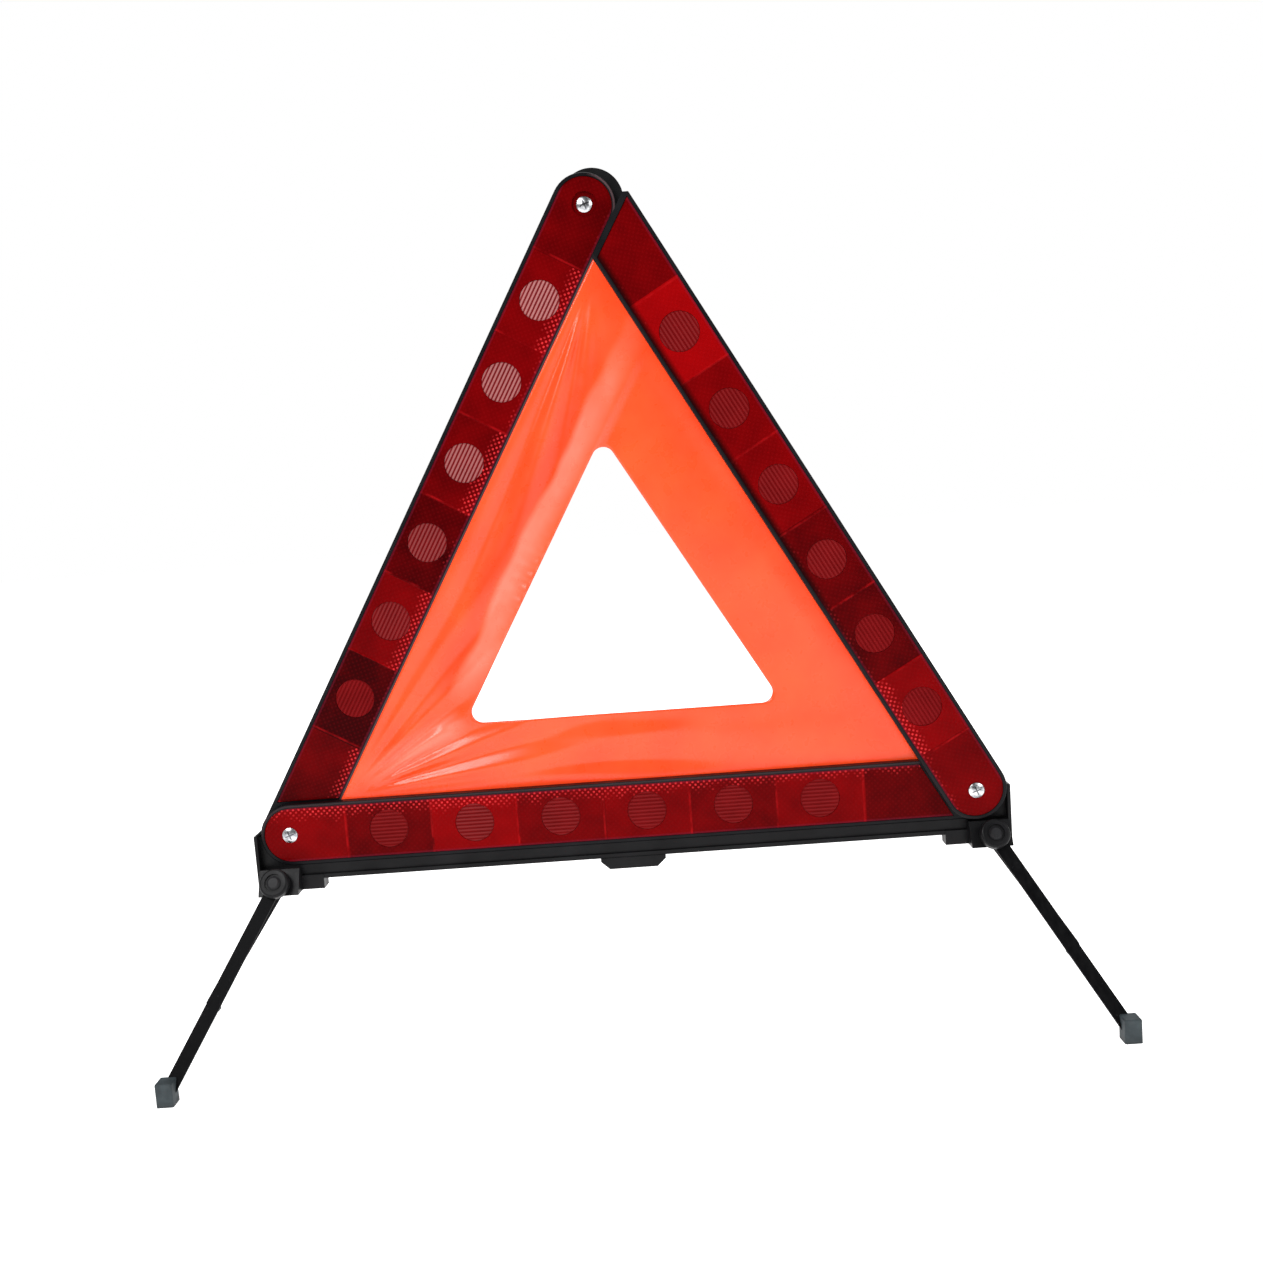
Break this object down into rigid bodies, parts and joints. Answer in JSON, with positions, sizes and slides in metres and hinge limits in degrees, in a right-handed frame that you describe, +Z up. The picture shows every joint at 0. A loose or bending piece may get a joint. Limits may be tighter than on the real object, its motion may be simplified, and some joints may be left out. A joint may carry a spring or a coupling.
{
  "type": "warning triangle",
  "caption": "Folding roadside warning triangle: reflective red arms around an orange film, on a black rail with swing-out legs.",
  "frame": {"origin": "on the ground, under the middle of the feet", "axes": "+X to the right seen from the front, -Y is the front, +Z up"},
  "size_m": [0.564, 0.1389, 0.4968],
  "materials": {
    "black_plastic": "satin",
    "red_lens": "gloss",
    "reflector_disc": "gloss",
    "zinc_steel": "satin",
    "orange_film": "gloss",
    "black_steel": "satin",
    "knuckle_plastic": "satin",
    "foot_rubber": "matte"
  },
  "bodies": {
    "base": {"base_arm_housing": "black_plastic", "base_arm_lens": "red_lens", "base_arm_discs": "reflector_disc", "left_pivot_rivet": "zinc_steel", "right_pivot_rivet": "zinc_steel", "signal_film": "orange_film", "base_rail": "black_plastic", "grip_tab": "black_plastic", "left_bracket": "black_plastic", "right_bracket": "black_plastic", "leg_front_left_pin": "zinc_steel", "leg_front_right_pin": "zinc_steel", "leg_rear_left_pin": "zinc_steel", "leg_rear_right_pin": "zinc_steel"},
    "left_arm": {"left_arm_housing": "black_plastic", "left_arm_lens": "red_lens", "left_arm_discs": "reflector_disc", "apex_rivet": "zinc_steel", "apex_catch": "black_plastic"},
    "right_arm": {"right_arm_housing": "black_plastic", "right_arm_lens": "red_lens", "right_arm_discs": "reflector_disc"},
    "leg_front_left": {"leg_front_left_strip": "black_steel", "leg_front_left_knuckle": "knuckle_plastic", "leg_front_left_foot": "foot_rubber"},
    "leg_front_right": {"leg_front_right_strip": "black_steel", "leg_front_right_knuckle": "knuckle_plastic", "leg_front_right_foot": "foot_rubber"},
    "leg_rear_left": {"leg_rear_left_strip": "black_steel", "leg_rear_left_knuckle": "knuckle_plastic", "leg_rear_left_foot": "foot_rubber"},
    "leg_rear_right": {"leg_rear_right_strip": "black_steel", "leg_rear_right_knuckle": "knuckle_plastic", "leg_rear_right_foot": "foot_rubber"}
  },
  "joints": [
    {"name": "left_arm_fold", "type": "hinge", "parent": "base", "child": "left_arm", "pos_m": [-0.2, 0, 0.13], "axis": [0, 1, 0], "range_deg": [0, 60], "deforming": ["signal_film"]},
    {"name": "right_arm_fold", "type": "hinge", "parent": "base", "child": "right_arm", "pos_m": [0.2, 0, 0.13], "axis": [0, 1, 0], "range_deg": [-60.7, 0]},
    {"name": "leg_front_left_swing", "type": "hinge", "parent": "base", "child": "leg_front_left", "pos_m": [-0.208, -0.012, 0.1035], "axis": [0, -0.8829, 0.4695], "range_deg": [0, 116.6]},
    {"name": "leg_front_right_swing", "type": "hinge", "parent": "base", "child": "leg_front_right", "pos_m": [0.208, -0.012, 0.1035], "axis": [0, -0.8829, 0.4695], "range_deg": [-116.6, 0]},
    {"name": "leg_rear_left_swing", "type": "hinge", "parent": "base", "child": "leg_rear_left", "pos_m": [-0.208, 0.012, 0.1035], "axis": [0, 0.8829, 0.4695], "range_deg": [-123.4, 0]},
    {"name": "leg_rear_right_swing", "type": "hinge", "parent": "base", "child": "leg_rear_right", "pos_m": [0.208, 0.012, 0.1035], "axis": [0, 0.8829, 0.4695], "range_deg": [0, 120.9]}
  ],
  "couplings": [
    {"joint": "right_arm_fold", "follows": "left_arm_fold", "ratio": -1.0116}
  ]
}
